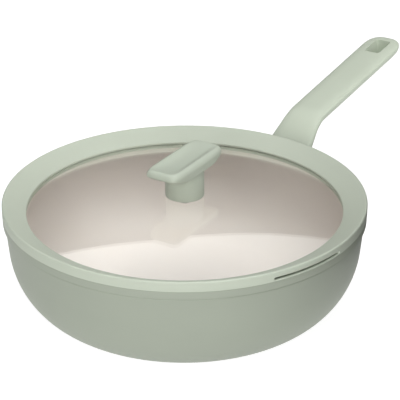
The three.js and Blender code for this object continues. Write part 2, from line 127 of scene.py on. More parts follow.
def skin(name, rings, loop=False):
    """A closed surface through a row of rings. A ring of one point closes the row in a tip."""
    points = [Vector(p) for ring in rings for p in ring]
    starts = [sum(len(r) for r in rings[:i]) for i in range(len(rings))]
    pairs = [(i, i + 1) for i in range(len(rings) - 1)]
    if loop:
        pairs.append((len(rings) - 1, 0))
    faces = []
    for i, j in pairs:
        near, far = len(rings[i]), len(rings[j])
        for k in range(max(near, far)):
            corners = [starts[i] + k % near, starts[i] + (k + 1) % near]
            corners += [starts[j] + (k + 1) % far, starts[j] + k % far]
            faces.append(list(dict.fromkeys(corners)))
    mesh = bpy.data.meshes.new(name)
    mesh.from_pydata(points, [], faces)
    body = bmesh.new()
    body.from_mesh(mesh)
    bmesh.ops.recalc_face_normals(body, faces=body.faces)
    body.to_mesh(mesh)
    body.free()
    piece = bpy.data.objects.new(name, mesh)
    bpy.context.scene.collection.objects.link(piece)
    soften(piece)
    return piece


def soften(piece, crease=math.radians(32)):
    piece.data.shade_smooth()
    piece.data.set_sharp_from_angle(angle=crease)


def turns_of(steps):
    """Angles of the points round a circle."""
    return [2 * math.pi * i / steps for i in range(steps)]


def round_axis(radius, turn, height):
    return radius * math.cos(turn), radius * math.sin(turn), height


def level_ring(radii, height):
    """Ring of points at one height, at these distances from the axis."""
    return [round_axis(radius, turn, height) for radius, turn in zip(radii, turns_of(len(radii)))]


def turned(name, profile, steps=ROUND_STEPS, loop=False):
    """Surface turned from a profile of radius and height points. A radius of 0 is a tip."""
    rings = [level_ring([radius] * steps, z) if radius else [(0, 0, z)] for radius, z in profile]
    return skin(name, rings, loop)


def rounded(corners, steps=6):
    """Outline with its corners, each (x, y, radius), rounded to arcs. It may be closed or open."""
    points = []
    for i, (x, y, radius) in enumerate(corners):
        corner = Vector((x, y))
        if radius == 0:
            points.append(tuple(corner))
            continue
        before = (Vector(corners[i - 1][:2]) - corner).normalized()
        after = (Vector(corners[(i + 1) % len(corners)][:2]) - corner).normalized()
        half = before.angle(after) / 2
        centre = corner + (before + after).normalized() * radius / math.sin(half)
        start = corner + before * radius / math.tan(half) - centre
        end = corner + after * radius / math.tan(half) - centre
        turn = math.pi - 2 * half
        for k in range(steps + 1):
            share = k / steps
            arm = (start * math.sin((1 - share) * turn) + end * math.sin(share * turn)) / math.sin(turn)
            points.append(tuple(centre + arm))
    return points


def wall_line(offset, steps=48):
    """Outer line of the wall from base to band, moved out by offset(share of the way up)."""
    end = math.atan2(SWEEP_WIDTH, SWEEP_HEIGHT * WALL_LEAN)
    line = []
    for i in range(steps + 1):
        turn = end * i / steps
        across = Vector((SWEEP_HEIGHT * math.sin(turn), -SWEEP_WIDTH * math.cos(turn))).normalized()
        point = Vector((BASE_FLAT + SWEEP_WIDTH * math.sin(turn), SWEEP_HEIGHT * (1 - math.cos(turn))))
        line.append(point + across * offset(i / steps))
    rise = RIM_TOP - BAND_HEIGHT - SWEEP_HEIGHT * (1 - math.cos(end))
    foot = line[-1]
    straight = 8
    for i in range(1, straight + 1):
        line.append(foot + Vector((WALL_LEAN, 1)) * rise * i / straight)
    return line


def wok_bowl():
    outside = wall_line(lambda share: 0)
    inside = wall_line(lambda share: -(BASE_THICKNESS + (WALL - BASE_THICKNESS) * share))
    foot, bore = outside[-1], inside[-1]
    band_steps = 6
    band = rounded(
        [
            (foot.x - WALL_LEAN * GROOVE_HEIGHT, foot.y - GROOVE_HEIGHT, 0),
            (foot.x - GROOVE_SHOULDER_DEPTH, foot.y - GROOVE_SHOULDER, GROOVE_ROUND),
            (foot.x - GROOVE_DEPTH, foot.y - GROOVE_FLOOR, GROOVE_ROUND),
            (foot.x - GROOVE_DEPTH, foot.y, 0),
            (BAND_RADIUS, foot.y + BAND_STEP, BAND_ROUND / 2),
            (BAND_RADIUS, RIM_TOP, BAND_ROUND),
            (bore.x, RIM_TOP, BAND_ROUND),
            (*bore, 0),
        ],
        band_steps,
    )
    recess = PLATE_THICKNESS + FIT
    recess_edge = PLATE_RADIUS + FIT
    underside = [(0, recess), (recess_edge, recess), (recess_edge, FIT), (recess_edge + FIT, 0)]
    wall = [tuple(p) for p in outside[:-1]]
    profile = underside + wall + band + [tuple(p) for p in inside[-2::-1]] + [(0, BASE_THICKNESS)]
    bowl = turned("wok_bowl", profile)
    # The ceramic starts on the flat top of the band. Four rounded and two sharp corners come before it,
    # and the flat runs from the last of their points.
    corner_points = 4 * (band_steps + 1) + 2
    coated_from = len(underside) + len(wall) + corner_points - 1
    for number, face in enumerate(bowl.data.polygons):
        face.material_index = 1 if number >= ROUND_STEPS * coated_from else 0
    return bowl


# Sprayed lacquer gives an even matt colour with a faint orange peel of about a millimetre.
# The peel is drawn at 2.5 mm, coarser than the real one, so that it shows at all.
satin_lacquer = finish(
    "satin_sage_lacquer",
    LACQUER,
    LACQUER_DEEP,
    cloud_size=45 * MM,
    grain_size=2.5 * MM,
    bump_depth=0.012 * MM,
    roughness=(0.46, 0.58),
    IOR=1.45,
)
# Sol-gel ceramic cures to a smooth, slightly glossy skin with a soft cloudiness and fine grit.
# The grit is drawn at 1.5 mm, coarser than the real one, so that it shows.
ceramic_coating = finish(
    "cream_ceramic_coating",
    CERAMIC,
    CERAMIC_WARM,
    cloud_size=30 * MM,
    grain_size=1.5 * MM,
    bump_depth=0.006 * MM,
    roughness=(0.3, 0.42),
    IOR=1.45,
)
bowl = wok_bowl()
bowl.data.materials.append(satin_lacquer)
bowl.data.materials.append(ceramic_coating)
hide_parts("wok_body")
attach(bowl, "pan")

# Induction plate: a disc of magnetic stainless steel, spun with shallow rings and pressed flush into the
# recess under the base, so that the pan heats on an induction hob.
PLATE_RINGS = 9
PLATE_GROOVE_DEPTH = 0.2 * MM
PLATE_GROOVE_HALF = 1.2 * MM
PLATE_LINE_PITCH = 0.9 * MM
STEEL = "B4B4B1"
STEEL_DARK = "9C9C99"
STEEL_ROUGHNESS = (0.24, 0.4)
STEEL_LINE_DEPTH = 0.04 * MM
STEEL_LINE_STRENGTH = 0.2


def induction_plate():
    profile = [
        (0, PLATE_THICKNESS),
        (PLATE_RADIUS, PLATE_THICKNESS),
        (PLATE_RADIUS, PLATE_GROOVE_DEPTH),
        (PLATE_RADIUS - PLATE_GROOVE_DEPTH, 0),
    ]
    pitch = PLATE_RADIUS / (PLATE_RINGS + 1)
    for ring in range(PLATE_RINGS, 0, -1):
        outer, inner = ring * pitch + PLATE_GROOVE_HALF, ring * pitch - PLATE_GROOVE_HALF
        profile += [
            (outer, 0),
            (outer - PLATE_GROOVE_DEPTH, PLATE_GROOVE_DEPTH),
            (inner + PLATE_GROOVE_DEPTH, PLATE_GROOVE_DEPTH),
            (inner, 0),
        ]
    profile.append((0, 0))
    return turned("induction_plate", profile)


def spun_steel(name, line_pitch):
    # Turned stainless steel carries fine concentric lines, which stretch its highlights into rays.
    # The lines are drawn coarser than the tool leaves them, so that they show.
    material, tree = new_material(name)
    place = add_node(tree, "TexCoord").outputs["Object"]
    parts = add_node(tree, "SeparateXYZ", links={0: place}).outputs
    flat = add_node(tree, "CombineXYZ", links={0: parts[0], 1: parts[1]})
    radius = add_node(tree, "VectorMath", links={0: flat}, operation="LENGTH").outputs["Value"]
    pattern = {"Scale": 1 / line_pitch, "Detail": 2}
    lines = add_node(tree, "TexNoise", pattern, {"W": radius}, noise_dimensions="1D")
    relief = {"Strength": STEEL_LINE_STRENGTH, "Distance": STEEL_LINE_DEPTH}
    shade(tree, lines, lines, STEEL, STEEL_DARK, STEEL_ROUGHNESS, relief, {"Metallic": 1})
    return material


plate = induction_plate()
plate_steel = spun_steel("spun_stainless_steel", PLATE_LINE_PITCH)
plate.data.materials.append(plate_steel)
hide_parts("induction_base_plate")
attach(plate, "pan")

# Handle bracket: a die-cast aluminium foot, curved to the wall and welded to it, with a tang that
# reaches up inside the grip. Its surface is bead-blasted.
CORNER = Vector((190.2, 0, 94.6)) * MM
ROOT_ANGLE = math.radians(38.5)
ROOT_WIDTH = 50 * MM
CROWN = 4.2 * MM
CROWN_SQUARENESS = 3
ROOT_BELLY = 10 * MM
BELLY_SQUARENESS = 1.5
SECTION_STEPS = 96
# The root meets the wall between these distances back from the corner, and halving finds the place.
WALL_NEAREST = 20 * MM
WALL_FARTHEST = 95 * MM
WALL_HALVINGS = 40
# Shares of the root's section in the middle of its end, at the edge of the flat and on the round edge.
END_MIDDLE = 0.5
END_FLAT = 0.95
END_TURN = 0.985
END_TURN_DEPTH = 0.3
FOOT_MARGIN = 1 * MM
FOOT_THICKNESS = 4.7 * MM
FOOT_ROUND = 0.8 * MM
TANG_WIDTH = 15 * MM
TANG_THICKNESS = 6 * MM
TANG_END = 22 * MM
TANG_DROP = 3 * MM
WELD_DISTANCE = 0.002 * MM
CAST_ALUMINIUM = "C2C4C5"
CAST_ALUMINIUM_DARK = "ABADAF"


def handle_section(width, crown, belly):
    """Section across the handle: a gently crowned top, thin edges and a deep belly under them."""
    points = []
    for turn in turns_of(SECTION_STEPS):
        side, up = math.cos(turn), math.sin(turn)
        depth, squareness = (crown, CROWN_SQUARENESS) if up >= 0 else (belly, BELLY_SQUARENESS)
        side = math.copysign(abs(side) ** (2 / squareness), side)
        up = math.copysign(abs(up) ** (2 / squareness), up)
        points.append((width / 2 * side, depth * up))
    return points


def along_handle(angle):
    return Vector((math.cos(angle), 0, math.sin(angle)))


def across_handle(angle):
    return Vector((-math.sin(angle), 0, math.cos(angle)))


root_along, root_up = along_handle(ROOT_ANGLE), across_handle(ROOT_ANGLE)


def wall_radius(height):
    turn = math.atan2(SWEEP_WIDTH, SWEEP_HEIGHT * WALL_LEAN)
    curve_top = SWEEP_HEIGHT * (1 - math.cos(turn))
    if height > curve_top:
        return BASE_FLAT + SWEEP_WIDTH * math.sin(turn) + (height - curve_top) * WALL_LEAN
    return BASE_FLAT + SWEEP_WIDTH * math.sqrt(1 - (1 - height / SWEEP_HEIGHT) ** 2)


def root_point(side, up, back):
    """Point of the root at a distance back from the corner."""
    start = CORNER + Vector((0, side, 0)) + root_up * up
    return start - root_along * back


def meet_wall(side, up, gap):
    """Distance back from the corner at which a line of the root comes within a gap of the wall."""
    near, far = WALL_NEAREST, WALL_FARTHEST
    for _ in range(WALL_HALVINGS):
        middle = (near + far) / 2
        point = root_point(side, up, middle)
        if math.hypot(point.x, point.y) > wall_radius(point.z) + gap:
            near = middle
        else:
            far = middle
    return near


def wall_ring(share, gap, margin=0.0):
    """Ring of the root's section, shrunk to a share of its size, laid at a gap from the wall."""
    ring = []
    for side, up in handle_section(ROOT_WIDTH + 2 * margin, CROWN + margin, ROOT_BELLY + margin):
        side, up = side * share, up * share
        ring.append(root_point(side, up, meet_wall(side, up, gap)))
    return ring


def rounded_end(gap, edge_round, margin=0.0):
    """Rings from the middle of the root's end, at a gap from the wall, out and round its edge."""
    return [
        wall_ring(0, gap, margin)[:1],
        wall_ring(END_MIDDLE, gap, margin),
        wall_ring(END_FLAT, gap, margin),
        wall_ring(END_TURN, gap + END_TURN_DEPTH * edge_round, margin),
        wall_ring(1, gap + edge_round, margin),
    ]


def tang_point(distance):
    """Point in the middle of the tang, at a distance back from the corner."""
    return CORNER - root_along * distance - root_up * TANG_DROP


def capped(rings):
    """Row of rings that ends in the middle points of its first and its last ring."""
    ends = (rings[0], rings[-1])
    first, last = [[sum((Vector(p) for p in ring), Vector()) / len(ring)] for ring in ends]
    return [first, *rings, last]


def root_box(name, start, end, width, thickness):
    """Straight bar inside the root, from one distance to another from the corner."""
    rings = []
    for distance in (start, end):
        ring = []
        for side, up in ((1, 1), (-1, 1), (-1, -1), (1, -1)):
            reach = Vector((0, side * width / 2, 0)) + root_up * up * thickness / 2
            ring.append(tang_point(distance) + reach)
        rings.append(ring)
    return skin(name, capped(rings))


def combine(piece, tool, operation):
    """Joins or cuts a piece with a tool, which is then deleted, and cleans the seam."""
    change = piece.modifiers.new("combine", "BOOLEAN")
    change.operation = operation
    change.solver = "EXACT"
    change.object = tool
    bpy.context.view_layer.update()
    shape = piece.evaluated_get(bpy.context.evaluated_depsgraph_get())
    result = bpy.data.meshes.new_from_object(shape)
    piece.modifiers.clear()
    body = bmesh.new()
    body.from_mesh(result)
    bmesh.ops.remove_doubles(body, verts=body.verts, dist=WELD_DISTANCE)
    bmesh.ops.dissolve_degenerate(body, edges=body.edges, dist=WELD_DISTANCE)
    bmesh.ops.triangulate(body, faces=[face for face in body.faces if len(face.verts) > 4])
    # Two faces on the same points are a flap without thickness.
    twins = {}
    for face in body.faces:
        twins.setdefault(frozenset(face.verts), []).append(face)
    flaps = [face for pair in twins.values() if len(pair) > 1 for face in pair]
    bmesh.ops.delete(body, geom=flaps, context="FACES")
    body.to_mesh(result)
    body.free()
    old = piece.data
    piece.data = result
    bpy.data.meshes.remove(old)
    bpy.data.objects.remove(tool)
    soften(piece)


def bracket():
    wall_face = [wall_ring(0, FIT, FOOT_MARGIN)[:1]]
    wall_face += [wall_ring(share, FIT, FOOT_MARGIN) for share in (END_MIDDLE, 1)]
    grip_face = rounded_end(FOOT_THICKNESS + FIT, -FOOT_ROUND, FOOT_MARGIN)
    foot = skin("handle_bracket_foot", wall_face + grip_face[::-1])
    inside_foot = meet_wall(0, 0, FIT + FOOT_THICKNESS / 2)
    combine(foot, root_box("tang", inside_foot, TANG_END, TANG_WIDTH, TANG_THICKNESS), "UNION")
    return foot


# Bead blasting leaves an even dull grey with a fine sparkle of about half a millimetre, drawn at 0.8 mm.
blasted_aluminium = finish(
    "bead_blasted_aluminium",
    CAST_ALUMINIUM,
    CAST_ALUMINIUM_DARK,
    cloud_size=5 * MM,
    grain_size=0.8 * MM,
    bump_depth=0.015 * MM,
    roughness=(0.4, 0.56),
    Metallic=1,
)
foot = bracket()
foot.data.materials.clear()
foot.data.materials.append(blasted_aluminium)
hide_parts("handle_bracket")
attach(foot, "pan")

# Handle grip: moulded in glass-filled nylon over a socket for the tang, and sprayed with a soft-touch
# sage coat. It climbs from the wall, bends and runs out almost level to a round tip with a hanging slot.
GRIP_ANGLE = math.radians(8.4)
BEND_WIDTH = 36 * MM
WAIST_WIDTH = 33.2 * MM
TIP_WIDTH = 34.7 * MM
GRIP_BELLY = 14.5 * MM
BEND_RADIUS = 44 * MM
GRIP_LENGTH = 150 * MM
TIP_LENGTH = 22.5 * MM
TIP_SQUARENESS = 2.6
HANGING_SLOT_LENGTH = 25.5 * MM
HANGING_SLOT_WIDTH = 15 * MM
HANGING_SLOT_DRAFT = 0.15
HANGING_SLOT_FROM_TIP = 23 * MM
HANGING_SLOT_SQUARENESS = 8
SLOT_EDGE_ROUND = 0.7 * MM
SLOT_EDGE_ABOVE = 0.07 * MM
SCREW_AT = 38 * MM
SCREW_STEPS = 48
COUNTERBORE_RADIUS = 5.2 * MM
COUNTERBORE_FLOOR = 4.3 * MM
COUNTERBORE_MOUTH = 20 * MM
SCREW_RADIUS = 2.4 * MM
# Cutting tools stick out of what they cut by this much.
TOOL_OVERRUN = 2 * MM
NYLON = "C6CFBE"
NYLON_DEEP = "C1CAB8"

bend_reach = BEND_RADIUS * math.tan((ROOT_ANGLE - GRIP_ANGLE) / 2)
grip_along, grip_up = along_handle(GRIP_ANGLE), across_handle(GRIP_ANGLE)


def handle_ring(centre, angle, width, crown, belly):
    section = handle_section(width, crown, belly)
    return [centre + Vector((0, side, 0)) + across_handle(angle) * up for side, up in section]


def grip_blank():
    *rings, root_start = rounded_end(FOOT_THICKNESS + 2 * FIT, FOOT_ROUND)
    bend_start = CORNER - root_along * bend_reach
    root_end = handle_ring(bend_start, ROOT_ANGLE, BEND_WIDTH, CROWN, GRIP_BELLY)
    root_steps = 10
    for i in range(root_steps):
        share = i / root_steps
        rings.append([a.lerp(b, share) for a, b in zip(root_start, root_end)])
    bend_steps = 28
    for i in range(bend_steps + 1):
        share = i / bend_steps
        angle = ROOT_ANGLE + (GRIP_ANGLE - ROOT_ANGLE) * share
        width = WAIST_WIDTH + (BEND_WIDTH - WAIST_WIDTH) * (1 - share) ** 2
        centre = bend_start + BEND_RADIUS * (across_handle(angle) - root_up)
        rings.append(handle_ring(centre, angle, width, CROWN, GRIP_BELLY))
    grip_start = CORNER + grip_along * bend_reach
    straight_steps = 30
    for i in range(1, straight_steps):
        share = i / straight_steps
        centre = grip_start + grip_along * (GRIP_LENGTH - TIP_LENGTH) * share
        width = WAIST_WIDTH + (TIP_WIDTH - WAIST_WIDTH) * share
        rings.append(handle_ring(centre, GRIP_ANGLE, width, CROWN, GRIP_BELLY))
    tip_steps = 24
    for i in range(tip_steps):
        share = math.sin(math.pi / 2 * i / tip_steps)
        narrow = (1 - share**TIP_SQUARENESS) ** (1 / TIP_SQUARENESS)
        flat = (1 - share ** (2 * TIP_SQUARENESS)) ** (1 / TIP_SQUARENESS)
        reach = GRIP_LENGTH - TIP_LENGTH * (1 - share)
        centre = grip_start + grip_along * reach
        rings.append(handle_ring(centre, GRIP_ANGLE, TIP_WIDTH * narrow, CROWN * flat, GRIP_BELLY * flat))
    rings.append([grip_start + grip_along * GRIP_LENGTH])
    return skin("handle_grip_moulding", rings)


def outline(half_length, half_width, squareness, steps):
    """Rounded outline between an ellipse (squareness 2) and a rectangle."""
    points = []
    for turn in turns_of(steps):
        x, y = math.cos(turn), math.sin(turn)
        size = abs(x / half_length) ** squareness + abs(y / half_width) ** squareness
        reach = size ** (-1 / squareness)
        points.append((reach * x, reach * y))
    return points


def hanging_slot():
    """Tool for the slot. It narrows downwards, and flares at the top so that the slot's edge is round."""
    top = CROWN + SLOT_EDGE_ABOVE
    centre = CORNER + grip_along * (bend_reach + GRIP_LENGTH - HANGING_SLOT_FROM_TIP)
    below = GRIP_BELLY + TOOL_OVERRUN
    # Height of each outline, and how far it grows beyond the slot.
    levels = [(-below, -HANGING_SLOT_DRAFT * (below + top - SLOT_EDGE_ROUND))]
    flare_steps = 6
    for i in range(flare_steps + 1):
        turn = math.pi / 2 * i / flare_steps
        rise = top - SLOT_EDGE_ROUND + SLOT_EDGE_ROUND * math.sin(turn)
        levels.append((rise, SLOT_EDGE_ROUND * (1 - math.cos(turn))))
    levels.append((top + TOOL_OVERRUN, SLOT_EDGE_ROUND))
    rings = []
    for height, grow in levels:
        half_length, half_width = HANGING_SLOT_LENGTH / 2 + grow, HANGING_SLOT_WIDTH / 2 + grow
        edge = outline(half_length, half_width, HANGING_SLOT_SQUARENESS, SECTION_STEPS)
        level = centre + grip_up * height
        rings.append([level + grip_along * x + Vector((0, y, 0)) for x, y in edge])
    ends = [centre + grip_up * levels[i][0] for i in (0, -1)]
    return skin("slot_tool", [ends[:1], *rings, ends[1:]])


def square_to_root(name, profile):
    """Turns a profile of radius and depth points about the axis of the handle screw."""
    rings = []
    for radius, depth in profile:
        level = tang_point(SCREW_AT) - root_up * depth
        ring = []
        for turn in turns_of(SCREW_STEPS) if radius else [0]:
            side = Vector((0, radius * math.sin(turn), 0))
            ring.append(level + root_along * radius * math.cos(turn) + side)
        rings.append(ring)
    return skin(name, rings)


def grip():
    moulding = grip_blank()
    socket_start = meet_wall(0, 0, 0)
    combine(
        moulding,
        root_box("socket", socket_start, TANG_END - FIT, TANG_WIDTH + 2 * FIT, TANG_THICKNESS + 2 * FIT),
        "DIFFERENCE",
    )
    hole = [
        (0, 0),
        (SCREW_RADIUS + FIT, 0),
        (SCREW_RADIUS + FIT, COUNTERBORE_FLOOR),
        (COUNTERBORE_RADIUS, COUNTERBORE_FLOOR),
        (COUNTERBORE_RADIUS, COUNTERBORE_MOUTH),
        (0, COUNTERBORE_MOUTH),
    ]
    combine(moulding, square_to_root("screw_hole", hole), "DIFFERENCE")
    combine(moulding, hanging_slot(), "DIFFERENCE")
    return moulding


def soft_touch(name, light, deep):
    # A soft-touch coat is matt and slightly velvety, over a fine spark-eroded texture.
    # The texture is drawn at 1.2 mm, coarser than the real one, so that it shows.
    return finish(
        name,
        light,
        deep,
        cloud_size=25 * MM,
        grain_size=1.2 * MM,
        bump_depth=0.008 * MM,
        roughness=(0.5, 0.62),
        Sheen_Weight=0.05,
        IOR=1.45,
    )


moulding = grip()
moulding.data.materials.clear()
moulding.data.materials.append(soft_touch("soft_touch_nylon", NYLON, NYLON_DEEP))
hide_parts("handle_grip")
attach(moulding, "pan")

# Handle screw and its spring washer: a button-head steel screw with a hexagon socket, driven from
# below through the grip into the tang, on a split ring that keeps it tight.
WASHER_RADIUS = 4.6 * MM
WASHER_THICKNESS = 0.8 * MM
WASHER_SPLIT = math.radians(9)
WASHER_STEPS = 60
# Share of the washer's thickness by which its ends stand apart.
WASHER_SPREAD = 0.1
HANDLE_HEAD_RADIUS = 4.5 * MM
HANDLE_HEAD_HEIGHT = 2.2 * MM
HANDLE_SCREW_REACH = 2.5 * MM
THREAD_PITCH = 0.8 * MM
THREAD_DEPTH = 0.25 * MM
# Shares of the head's radius: the socket across its flats, the socket's chamfer, and the flat of the head.
SOCKET_WIDTH = 0.95
SOCKET_CHAMFER = 0.06
HEAD_FLAT = 0.66
# Shares of the head's height: floor and edge of the socket, and the straight side of the head.
SOCKET_FLOOR = 0.35
SOCKET_EDGE = 0.97
HEAD_SIDE = 0.3
# The screw's point is this share of its radius in width and length.
SCREW_POINT = 0.5
FASTENER_LINE_PITCH = 0.5 * MM


def hexagon_radius(turn, across_flats):
    sector = math.pi / 3
    return across_flats / 2 / math.cos((turn % sector) - sector / 2)


def screw(name, head_radius, head_height, shank):
    """Button-head screw about -Z, with the underside of its head at the origin."""

    def circle(radius, height):
        return level_ring([radius] * SCREW_STEPS, height)

    def hexagon(height, grow=0.0):
        radii = [hexagon_radius(turn, SOCKET_WIDTH * head_radius) + grow for turn in turns_of(SCREW_STEPS)]
        return level_ring(radii, height)

    socket_floor = -SOCKET_FLOOR * head_height
    rings = [[(0, 0, socket_floor)], hexagon(socket_floor), hexagon(-SOCKET_EDGE * head_height)]
    rings.append(hexagon(-head_height, SOCKET_CHAMFER * head_radius))
    dome_steps = 6
    for i in range(dome_steps + 1):
        turn = math.pi / 2 * i / dome_steps
        radius = head_radius * (HEAD_FLAT + (1 - HEAD_FLAT) * math.sin(turn))
        rings.append(circle(radius, -head_height * (HEAD_SIDE + (1 - HEAD_SIDE) * math.cos(turn))))
    rings.append(circle(head_radius, 0))
    rings.append(circle(SCREW_RADIUS, 0))
    height = THREAD_PITCH
    while height < shank - SCREW_RADIUS:
        rings.append(circle(SCREW_RADIUS, height))
        rings.append(circle(SCREW_RADIUS - THREAD_DEPTH, height + THREAD_PITCH / 2))
        height += THREAD_PITCH
    rings.append(circle(SCREW_RADIUS, shank - SCREW_POINT * SCREW_RADIUS))
    rings.append(circle(SCREW_POINT * SCREW_RADIUS, shank))
    rings.append([(0, 0, shank)])
    return skin(name, rings)


def split_washer(name, outer, inner, thickness):
    half = (1 - WASHER_SPREAD) / 2 * thickness
    section = ((inner, -half), (outer, -half), (outer, half), (inner, half))
    rings = []
    for i in range(WASHER_STEPS + 1):
        turn = WASHER_SPLIT / 2 + (2 * math.pi - WASHER_SPLIT) * i / WASHER_STEPS
        lift = WASHER_SPREAD * thickness * (i / WASHER_STEPS - 1 / 2)
        rings.append([round_axis(radius, turn, z + lift) for radius, z in section])
    return skin(name, capped(rings))


def seat_under_root(piece, depth):
    """Places a piece made about -Z on the axis of the handle screw."""
    piece.rotation_euler.y = -ROOT_ANGLE
    piece.location = tang_point(SCREW_AT) - root_up * depth


handle_head_depth = COUNTERBORE_FLOOR + WASHER_THICKNESS + 2 * FIT
handle_screw = screw(
    "handle_button_screw", HANDLE_HEAD_RADIUS, HANDLE_HEAD_HEIGHT, handle_head_depth + HANDLE_SCREW_REACH
)
seat_under_root(handle_screw, handle_head_depth)
spring_washer = split_washer("handle_spring_washer", WASHER_RADIUS, SCREW_RADIUS + FIT, WASHER_THICKNESS)
seat_under_root(spring_washer, COUNTERBORE_FLOOR + FIT + WASHER_THICKNESS / 2)
fastener_steel = spun_steel("turned_stainless_steel", FASTENER_LINE_PITCH)
for piece, node in ((handle_screw, "handle_screw"), (spring_washer, "handle_lock_washer")):
    piece.data.materials.append(fastener_steel)
    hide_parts(node)
    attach(piece, "pan")

# Lid glass: a shallow dome of clear tempered soda-lime glass, sagged in a mould and ground at its edge.
# It sits in the groove of the silicone rim and has a hole in its centre for the knob.
GLASS_APEX = 92.8 * MM
GLASS_DOME = 737 * MM
GLASS_RADIUS = 132 * MM
GLASS_THICKNESS = 4 * MM
GLASS_HOLE = 6 * MM
GLASS_TINT = "FCFDFC"
GLASS_IOR = 1.5
GLASS_ROUGHNESS = 0.01
SAG_WAVE = 60 * MM
SAG_WAVE_HEIGHT = 0.5 * MM
SAG_WAVE_STRENGTH = 0.05
SLANT_START = 0.4
LET_THROUGH = 0.985
LET_THROUGH_SLANTED = 0.45


def glass_top(radius):
    return GLASS_APEX - GLASS_DOME + math.sqrt(GLASS_DOME**2 - radius**2)


def lid_glass():
    dome_steps, edge_steps = 40, 8
    round_edge = GLASS_THICKNESS / 2
    flat_end = GLASS_RADIUS - round_edge
    radii = [GLASS_HOLE + (flat_end - GLASS_HOLE) * i / dome_steps for i in range(dome_steps + 1)]
    top = [(r, glass_top(r)) for r in radii]
    bottom = [(r, z - GLASS_THICKNESS) for r, z in top]
    middle = glass_top(flat_end) - round_edge
    turns = [math.pi * i / edge_steps - math.pi / 2 for i in range(1, edge_steps)]
    edge = [(flat_end + round_edge * math.cos(t), middle + round_edge * math.sin(t)) for t in turns]
    return turned("lid_glass_dome", bottom + edge + top[::-1], loop=True)


def tempered_glass():
    # Clear glass bends what is behind it and mirrors more of the room the flatter it is looked at. Waves
    # of a few centimetres from sagging bend its reflections a little. Light for the bowl passes straight
    # through, and less of it where it meets the glass at a slant.
    material, tree = new_material("tempered_soda_lime_glass")
    place = add_node(tree, "TexCoord").outputs["Object"]
    waves = add_node(tree, "TexNoise", {"Scale": 1 / SAG_WAVE, "Detail": 1}, {"Vector": place})
    relief = {"Strength": SAG_WAVE_STRENGTH, "Distance": SAG_WAVE_HEIGHT}
    bump = add_node(tree, "Bump", relief, {"Height": waves})
    body = {"Color": linear(GLASS_TINT), "Roughness": GLASS_ROUGHNESS, "IOR": GLASS_IOR}
    solid = add_node(tree, "BsdfGlass", body, {"Normal": bump})
    slant = add_node(tree, "LayerWeight", {"Blend": 0.5}).outputs["Facing"]
    loss = {"From Min": SLANT_START, "From Max": 1, "To Min": LET_THROUGH, "To Max": LET_THROUGH_SLANTED}
    let_through = add_node(tree, "MapRange", loss, {"Value": slant})
    clear = add_node(tree, "BsdfTransparent", links={"Color": let_through})
    ray = add_node(tree, "LightPath").outputs
    shadow, diffuse = ray["Is Shadow Ray"], ray["Is Diffuse Ray"]
    passing = add_node(tree, "Math", links={0: shadow, 1: diffuse}, operation="MAXIMUM")
    mixed = add_node(tree, "MixShader", links={0: passing, 1: solid, 2: clear})
    add_node(tree, "OutputMaterial", links={"Surface": mixed})
    return material


glass = lid_glass()
glass.data.materials.append(tempered_glass())
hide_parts("lid_glass")
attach(glass, "lid")

# Lid rim: one thick ring of matt sage silicone, moulded round the edge of the glass. It slopes like a
# funnel to the glass, stands flush on the band of the pan and plugs into it. A slot through one side
# leads to a duct in the plug and lets steam out.
RIM_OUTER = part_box("lid_silicone_rim")[1].x
RIM_INNER = 125.7 * MM
RIM_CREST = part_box("lid_silicone_rim")[1].z
RIM_STEPS = 256
CREST_ROUND = 1.2 * MM
SEAT_GAP = 0.06 * MM
SEAT_ROUND = 0.25 * MM
FUNNEL_LOW = 83.6 * MM
FUNNEL_ROUND = 0.7 * MM
PLUG_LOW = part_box("lid_silicone_rim")[0].z
PLUG_TAPER = 0.8 * MM
PLUG_OUTER_ROUND = 1.2 * MM
PLUG_INNER_ROUND = 1 * MM
STEAM_SLOT_START = math.radians(-119.5)
STEAM_SLOT_END = math.radians(-93.3)
STEAM_SLOT_LOW = 85.3 * MM
STEAM_SLOT_HEIGHT = 1.9 * MM
STEAM_SLOT_FALL = 1.6 * MM
LOWER_LIP_ROUND = 1 * MM
UPPER_LIP_ROUND = 0.3 * MM
# Place and growth of the lower lip half-way round its edge, as shares of its radius.
LIP_TURN_BACK = 0.4
LIP_TURN_GROWTH = 0.25
MOUTH_TIP = 1 * MM
DUCT_INNER = 134 * MM
DUCT_WIDTH = 3.5 * MM
SILICONE = "C3CBBB"
SILICONE_DEEP = "BEC6B6"


def rim_section():
    plug = wall_line(lambda share: -WALL)[-1].x - FIT
    seat = RIM_TOP + SEAT_GAP
    groove_end = GLASS_RADIUS + SEAT_GAP
    groove_top = [glass_top(r) + SEAT_GAP for r in (groove_end, RIM_INNER)]
    groove_low = [glass_top(r) - GLASS_THICKNESS - SEAT_GAP for r in (groove_end, RIM_INNER)]
    slope = math.atan2(RIM_CREST - FUNNEL_LOW, RIM_OUTER - RIM_INNER)
    # The corner of the crest stands above its rounded top.
    corner = RIM_CREST + CREST_ROUND * (math.tan(slope) + 1 / math.cos(slope) - 1)
    return rounded(
        [
            (RIM_INNER, groove_top[1], 0),
            (RIM_INNER, FUNNEL_LOW, FUNNEL_ROUND),
            (RIM_OUTER, corner, CREST_ROUND),
            (RIM_OUTER, seat, SEAT_ROUND),
            (plug, seat, 0),
            (plug - PLUG_TAPER, PLUG_LOW, PLUG_OUTER_ROUND),
            (RIM_INNER, PLUG_LOW, PLUG_INNER_ROUND),
            (RIM_INNER, groove_low[1], 0),
            (groove_end, groove_low[0], 0),
            (groove_end, groove_top[0], 0),
        ]
    )


